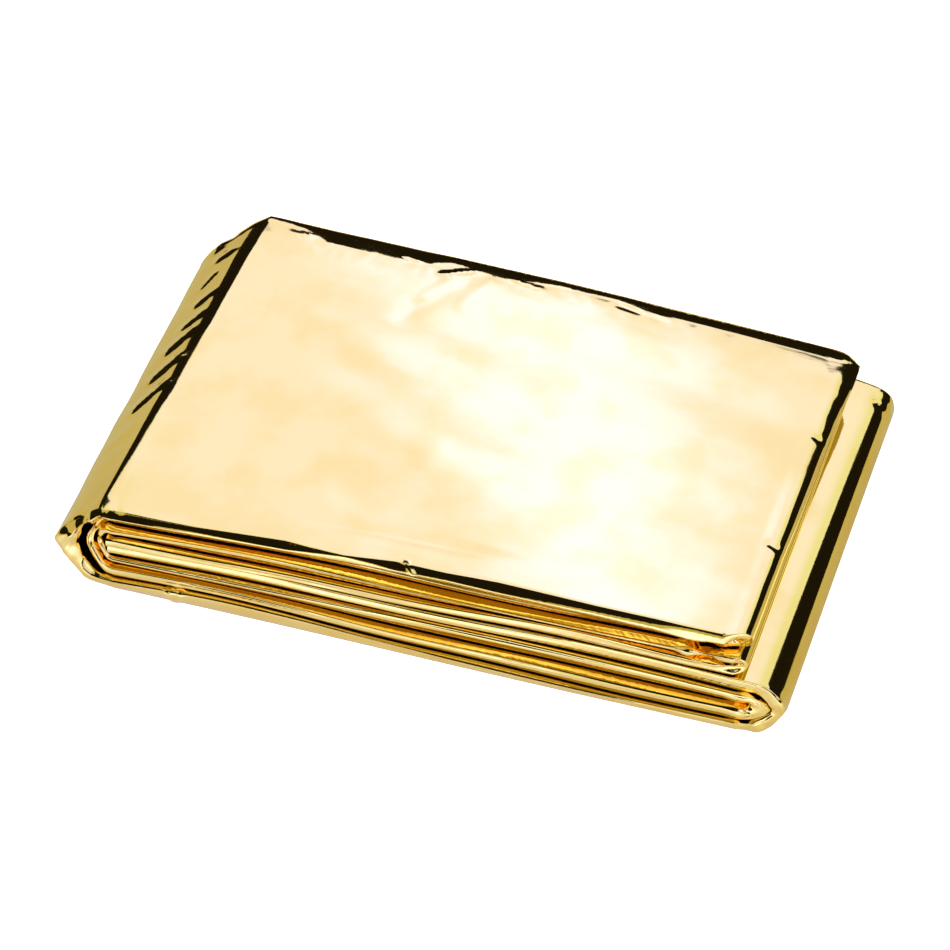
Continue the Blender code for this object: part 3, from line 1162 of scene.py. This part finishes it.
@dataclass(frozen=True)
class FilmDetail:
    """The fine relief of thin film, shared as one node group.

    Attributes:
        wrinkle: height of the fine wrinkles all over, in millimetres.
        hatch: height of the slanting crinkles across folded edges.
        tilt: how far small facets lean where the film is crushed.
    """

    wrinkle: float = 0.006
    hatch: float = 0.045
    tilt: float = 0.28

    SLANT = 0.8  # how far the hatching leans along the strip for each unit down an edge
    HATCH_SHARES = (0.55, 0.12, 0.0)  # how finely it changes along the strip and down an edge
    WRINKLE_SHARES = (0.16, 0.45, 0.3)  # how finely the wrinkles change along X, Y and Z
    FACET_SCALE = 0.40  # facets to a millimetre
    WARP = 3.0  # how far noise pushes their borders about, in millimetres

    def height(self, wires: Wires, place: Socket, crinkle: Socket) -> Socket:
        """Slanting crinkles across the folded edges, and fine wrinkles all over, both read from noise.

        Noise swings about a half, so it is taken twice as high for the film to rise and fall by the height.

        Args:
            wires: the group's nodes.
            place: a point of the film, in millimetres.
            crinkle: the crinkle mask.

        Returns:
            The height, in metres.
        """
        x, y, z = wires.parts(place)
        down = wires.op("SUBTRACT", z, y)
        along = wires.op("SUBTRACT", x, wires.op("MULTIPLY", down, self.SLANT))
        slanted = wires.node("CombineXYZ", {0: along, 1: down}).outputs[0]
        slanted = wires.vector("MULTIPLY", slanted, self.HATCH_SHARES)
        hatch = wires.op("MULTIPLY", wires.noise(slanted, scale=1.6, detail=1.0), crinkle)
        fine = wires.noise(wires.vector("MULTIPLY", place, self.WRINKLE_SHARES), scale=1.0, detail=3.0)
        hatch = wires.op("MULTIPLY", hatch, self.hatch * 2)
        fine = wires.op("MULTIPLY", fine, self.wrinkle * 2)
        return wires.op("MULTIPLY", wires.op("ADD", hatch, fine), METRES)

    def facet(self, wires: Wires, place: Socket, crush: Socket) -> Socket:
        """How far the normal leans where the film is crushed: one lean for each cell of a warped pattern.

        Args:
            wires: the group's nodes.
            place: a point of the film, in millimetres.
            crush: the crush mask.

        Returns:
            The lean, as a vector to add to the normal.
        """
        swirl = wires.noise(place, scale=0.3, detail=1.0, output="Color")
        warped = wires.vector("ADD", place, wires.scaled(swirl, self.WARP))
        cells = wires.node("TexVoronoi", {"Vector": warped, "Scale": self.FACET_SCALE})
        lean = wires.vector("SUBTRACT", cells.outputs["Color"], (0.5, 0.5, 0.5))
        return wires.scaled(lean, wires.op("MULTIPLY", crush, self.tilt))

    def group(self) -> bpy.types.NodeTree:
        """The group: from the crinkle and crush masks to a height, a facet normal and a smudge value.

        Returns:
            The node group.
        """
        tree = bpy.data.node_groups.new("film_detail", "ShaderNodeTree")
        for name, way, kind in (
            ("Crinkle", "INPUT", "NodeSocketFloat"),
            ("Crush", "INPUT", "NodeSocketFloat"),
            ("Height", "OUTPUT", "NodeSocketFloat"),
            ("Facet", "OUTPUT", "NodeSocketVector"),
            ("Smudge", "OUTPUT", "NodeSocketFloat"),
        ):
            tree.interface.new_socket(name, in_out=way, socket_type=kind)
        masks, ends = tree.nodes.new("NodeGroupInput"), tree.nodes.new("NodeGroupOutput")
        wires = Wires(tree)
        place = wires.scaled(wires.given("TexCoord", "Object"), 1.0 / METRES)
        wires.put(self.height(wires, place, masks.outputs["Crinkle"]), ends.inputs["Height"])
        wires.put(self.facet(wires, place, masks.outputs["Crush"]), ends.inputs["Facet"])
        wires.put(wires.noise(place, scale=0.09, detail=4.0), ends.inputs["Smudge"])
        return tree


@dataclass(frozen=True)
class FoilFinish:
    """Gold metallised film: a mirror-bright metal.

    Attributes:
        name: the material's name.
        tint: the metal's colour.
        deep: its colour where it is a little darker.
        roughness: its blur, from its clearest to its most smudged.
        deep_from: the smudge values between which its colour goes over to the darker one.
        smudged_from: the smudge values between which its blur grows.
    """

    name: str = "gold_foil"
    tint: Colour = (0.92, 0.64, 0.15)
    deep: Colour = (0.90, 0.60, 0.12)
    roughness: Pair = (0.045, 0.09)
    deep_from: Pair = (0.4, 0.65)
    smudged_from: Pair = (0.35, 0.7)

    def build(self) -> bpy.types.Material:
        """Makes the material.

        Returns:
            The material.
        """
        material = bpy.data.materials.new(self.name)
        material.use_nodes = True
        wires = Wires(material.node_tree)
        detail = wires.node("Group", {})
        detail.node_tree = FilmDetail().group()
        for mask, name in ((Mask.CRINKLE, "Crinkle"), (Mask.CRUSH, "Crush")):
            kept = wires.node("Attribute", {})
            kept.attribute_name = mask.value
            wires.put(kept.outputs["Fac"], detail.inputs[name])
        facet, height, smudge = (detail.outputs[name] for name in ("Facet", "Height", "Smudge"))
        leant = wires.vector("NORMALIZE", wires.vector("ADD", wires.given("NewGeometry", "Normal"), facet))
        bump = wires.node("Bump", {"Distance": 1.0, "Height": height, "Normal": leant})
        darker = wires.step(smudge, *self.deep_from)
        shader = wires.tree.nodes["Principled BSDF"]
        for name, value in (
            ("Base Color", wires.moved(self.tint, self.tint, self.deep, darker)),
            ("Metallic", 1.0),
            ("Roughness", wires.step(smudge, *self.smudged_from, *self.roughness)),
            ("Normal", bump.outputs["Normal"]),
        ):
            wires.put(value, shader.inputs[name])
        return material


@dataclass(frozen=True)
class Softbox:
    """A soft light panel in the surroundings, placed by its direction.

    Attributes:
        azimuth: its middle's direction in degrees, 0 to the back and 90 to the right.
        elevation: its middle's height above the horizon.
        half_width: degrees from its middle to its sides.
        half_height: degrees from its middle to its top and bottom.
        edge: degrees over which its border fades.
        hot: azimuth and elevation of its brightest spot.
        glow: degrees from there to where only the rim's light is left and to where the middle's is full.
        heart: degrees from there to where the core's light starts and to where it is full.
        rim: the light at its border.
        middle: the light between its border and its brightest spot.
        core: the light at its brightest spot.
    """

    azimuth: float
    elevation: float
    half_width: float
    half_height: float
    edge: float
    hot: Pair
    glow: Pair
    heart: Pair
    rim: Colour
    middle: Colour
    core: Colour

    @staticmethod
    def turned_from(wires: Wires, azimuth: Socket, other: float) -> Socket:
        """How many degrees an azimuth is from another one, from -180 to 180."""
        return wires.op("WRAP", wires.op("SUBTRACT", azimuth, other), 180.0, -180.0)

    def light(self, wires: Wires, azimuth: Socket, elevation: Socket) -> Socket:
        """Its light in a direction.

        Its border is a smooth step of the distance inside it. Its colour steps smoothly from the rim's to
        the middle's and on to the core's with the distance from its brightest spot.

        Args:
            wires: the world's nodes.
            azimuth: the direction's azimuth.
            elevation: the direction's elevation.

        Returns:
            The light's colour.
        """
        aside = wires.op("ABSOLUTE", self.turned_from(wires, azimuth, self.azimuth))
        above = wires.op("ABSOLUTE", wires.op("SUBTRACT", elevation, self.elevation))
        in_width = wires.step(aside, self.half_width + self.edge, self.half_width)
        in_height = wires.step(above, self.half_height + self.edge, self.half_height)
        hot_x = self.turned_from(wires, azimuth, self.hot[0])
        hot_y = wires.op("SUBTRACT", elevation, self.hot[1])
        squares = (wires.op("MULTIPLY", side, side) for side in (hot_x, hot_y))
        away = wires.op("SQRT", wires.op("ADD", *squares))
        colour = wires.moved(self.rim, self.rim, self.middle, wires.step(away, *self.glow))
        colour = wires.moved(colour, self.middle, self.core, wires.step(away, *self.heart))
        return wires.scaled(colour, wires.op("MULTIPLY", in_width, in_height))


@dataclass(frozen=True)
class FloorFinish:
    """A plain pale floor, lit to the camera so that it is as white as the surroundings.

    Attributes:
        name: the material's name.
        pale: its colour.
        speckle: how much lighter it is where its grain is strongest.
        grain: the grain's scale.
        grain_span: the grain values between which its blur grows.
        roughness: its blur, from the grain's lows to its highs.
        specular: how much it mirrors.
        glow: the light that it adds towards the camera.
    """

    name: str = "pale_floor"
    pale: Colour = (0.83, 0.82, 0.79)
    speckle: Colour = (0.02, 0.02, 0.02)
    grain: float = 900.0
    grain_span: Pair = (0.3, 0.7)
    roughness: Pair = (0.74, 0.84)
    specular: float = 0.2
    glow: float = 1.1

    def build(self) -> bpy.types.Material:
        """Makes the material.

        Returns:
            The material.
        """
        material = bpy.data.materials.new(self.name)
        material.use_nodes = True
        wires = Wires(material.node_tree)
        grain = wires.noise(wires.given("TexCoord", "Object"), self.grain, detail=3.0)
        seen = wires.given("LightPath", "Is Camera Ray")
        shader = wires.tree.nodes["Principled BSDF"]
        for name, value in (
            ("Base Color", wires.vector("ADD", self.pale, wires.scaled(self.speckle, grain))),
            ("Roughness", wires.step(grain, *self.grain_span, *self.roughness)),
            ("Specular IOR Level", self.specular),
            ("Emission Color", (1.0, 1.0, 1.0, 1.0)),
            ("Emission Strength", wires.op("MULTIPLY", seen, self.glow)),
        ):
            wires.put(value, shader.inputs[name])
        return material


@dataclass(frozen=True)
class KeyLight:
    """A soft panel low over the front that lights the floor and isn't mirrored in the film.

    Attributes:
        size: its width and depth, in metres.
        place: its middle, in metres.
        energy: its power, in watts.
        colour: its colour.
        spread: how widely it shines, in degrees.
    """

    size: Pair = (0.20, 0.03)
    place: Triple = (0.005, -0.078, 0.04)
    energy: float = 0.18
    colour: Colour = (0.25, 0.34, 1.0)
    spread: float = 110.0

    def build(self) -> bpy.types.Object:
        """Makes the light.

        Returns:
            The light.
        """
        data = bpy.data.lights.new("key", "AREA")
        data.shape = "RECTANGLE"
        data.size, data.size_y = self.size
        data.energy = self.energy
        data.color = self.colour
        data.spread = math.radians(self.spread)
        key = bpy.data.objects.new("key", data)
        key.location = self.place
        key.visible_glossy = False
        key.visible_camera = False
        bpy.context.scene.collection.objects.link(key)
        return key


@dataclass(frozen=True)
class Studio:
    """A plain pale floor, soft light panels and the camera.

    Attributes:
        boxes: the light panels that the film reflects.
        dark: the light from the rest of the surroundings.
        warm: the even light that falls on the floor.
        white: the surroundings as the camera sees them.
        between: the light that still finds its way in between the folds, seen only from fold to fold.
        bounces: the counts of bounces between which that light comes in.
        eye: the camera's place, in metres.
        target: the point that it looks at.
        lens: its focal length, in millimetres.
        sensor: its sensor's width, in millimetres.
    """

    boxes: tuple[Softbox, ...]
    dark: Colour = (0.012, 0.011, 0.010)
    warm: Colour = (0.69, 0.66, 0.16)
    white: Colour = (1.1, 1.1, 1.1)
    between: Colour = (0.40, 0.44, 0.30)
    bounces: Pair = (2.2, 2.8)
    eye: Triple = (0.1656, -0.5398, 0.5614)
    target: Triple = (-0.0033, 0.0060, 0.0)
    lens: float = 170.5
    sensor: float = 36.0

    def camera(self) -> bpy.types.Object:
        """Places the camera and makes it the scene's.

        Returns:
            The camera.
        """
        data = bpy.data.cameras.new("camera")
        data.lens = self.lens
        data.sensor_width = self.sensor
        data.clip_start = 0.01
        camera = bpy.data.objects.new("camera", data)
        eye, target = Vector(self.eye), Vector(self.target)
        camera.location = eye
        camera.rotation_euler = (target - eye).to_track_quat("-Z", "Y").to_euler()
        bpy.context.scene.collection.objects.link(camera)
        bpy.context.scene.camera = camera
        return camera

    def surroundings(self) -> bpy.types.World:
        """The world: white to the camera, evenly warm to the floor, and panels in the dark to the film.

        Returns:
            The world.
        """
        world = bpy.data.worlds.new("studio")
        bpy.context.scene.world = world
        world.use_nodes = True
        world.node_tree.nodes.clear()
        wires = Wires(world.node_tree)
        x, y, z = wires.parts(wires.given("TexCoord", "Generated"))
        elevation = wires.op("MULTIPLY", wires.op("ARCSINE", z), math.degrees(1.0))
        azimuth = wires.op("MULTIPLY", wires.op("ARCTAN2", x, y), math.degrees(1.0))
        mirrored: Socket | Colour = self.dark
        for box in self.boxes:
            mirrored = wires.vector("ADD", mirrored, box.light(wires, azimuth, elevation))
        rays = wires.node("LightPath", {}).outputs
        deeper = wires.step(rays["Ray Depth"], *self.bounces)
        mirrored = wires.vector("ADD", mirrored, wires.scaled(self.between, deeper))
        shown = wires.node("Background", {"Color": mirrored}).outputs[0]
        for colour, ray in ((self.warm, "Is Diffuse Ray"), (self.white, "Is Camera Ray")):
            light = wires.node("Background", {"Color": (*colour, 1.0)}).outputs[0]
            shown = wires.node("MixShader", {0: rays[ray], 1: shown, 2: light}).outputs[0]
        wires.node("OutputWorld", {0: shown})
        return world

    def floor(self) -> bpy.types.Object:
        """A wide square floor, a hair below the pack.

        Returns:
            The floor.
        """
        half, below = 6.0, -0.0002
        mesh = bpy.data.meshes.new("floor")
        corners = [(-half, -half, below), (half, -half, below), (half, half, below), (-half, half, below)]
        mesh.from_pydata(corners, [], [(0, 1, 2, 3)])
        mesh.materials.append(FloorFinish().build())
        floor = bpy.data.objects.new("floor", mesh)
        bpy.context.scene.collection.objects.link(floor)
        return floor


@dataclass(frozen=True)
class FoilBlanket:
    """The folded blanket: its strip in three stretches, each with the film's creases."""

    cut: float = 10.0  # x on the second run where the inner stretch ends and the upper one starts
    base_cut: float = -43.0  # x on the bottom run where the upper stretch ends and the base starts

    def stretches(self) -> list[Stretch]:
        """The three stretches, from the free end inside to the other one.

        Returns:
            The stretches, each starting where the one before it ends.
        """
        inside = ("upper_inner", "left_inner", "lower_inner", "left_middle")
        inner = Path(step=0.72).route(inside, FREE_END_ABOVE, self.cut)
        upper = Path(step=0.45).route(("upper_outer", "left_outer"), self.cut, self.base_cut)
        base = Path(step=0.5).route(("lower_outer",), self.base_cut, FREE_END_BELOW)
        first, second = inner.lengths()[-1], upper.lengths()[-1]
        return [
            Stretch("inner_folds", inner, edge_points=13, face_points=(8, 8), start=0.0),
            Stretch("top_fold", upper, edge_points=14, face_points=(120, 10), start=first),
            Stretch("base_fold", base, edge_points=14, face_points=(90, 10), start=first + second),
        ]

    def build(self) -> list[bpy.types.Object]:
        """Builds the stretches, ties each to the root body, and logs its faces and length.

        Returns:
            The pieces.
        """
        foil = FoilFinish().build()
        made = []
        for stretch in self.stretches():
            piece = stretch.build(foil)
            length = float(stretch.sections.lengths()[-1])
            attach(piece, "root")
            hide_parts(NODE)
            LOG.info("%s: %d faces, %.0f mm of the strip", piece.name, len(piece.data.polygons), length)
            made.append(piece)
        return made


# The light of a panel at its rim, in its middle and at its core.
GOLD: tuple[Colour, ...] = ((0.95, 1.17, 1.70), (1.09, 1.28, 3.35), (1.40, 1.66, 6.10))
COOL: tuple[Colour, ...] = ((0.70, 0.82, 1.40), (0.95, 1.12, 2.40), (1.30, 1.60, 4.60))
DIM: tuple[Colour, ...] = ((0.40, 0.42, 0.30), (0.55, 0.60, 0.55), (0.70, 0.80, 0.90))

# The wide panel behind the pack, one to the front right and a dim one to the left.
SOFTBOXES = (
    Softbox(-12.0, 53.0, 62.0, 18.0, 1.5, (-14.6, 42.9), (36.0, 16.0), (8.0, 1.2), *GOLD),
    Softbox(135.0, 38.0, 40.0, 26.0, 4.0, (135.0, 40.0), (40.0, 20.0), (25.0, 5.0), *COOL),
    Softbox(-100.0, 42.0, 25.0, 18.0, 4.0, (-100.0, 42.0), (40.0, 20.0), (25.0, 5.0), *DIM),
)


def main() -> None:
    """Builds the studio and the blanket."""
    logging.basicConfig(level=logging.INFO, format="%(name)s: %(message)s")
    bpy.context.scene.view_settings.view_transform = "Standard"
    studio = Studio(SOFTBOXES)
    studio.camera()
    studio.surroundings()
    studio.floor()
    KeyLight().build()
    FoilBlanket().build()


if __name__ == "__main__":
    main()
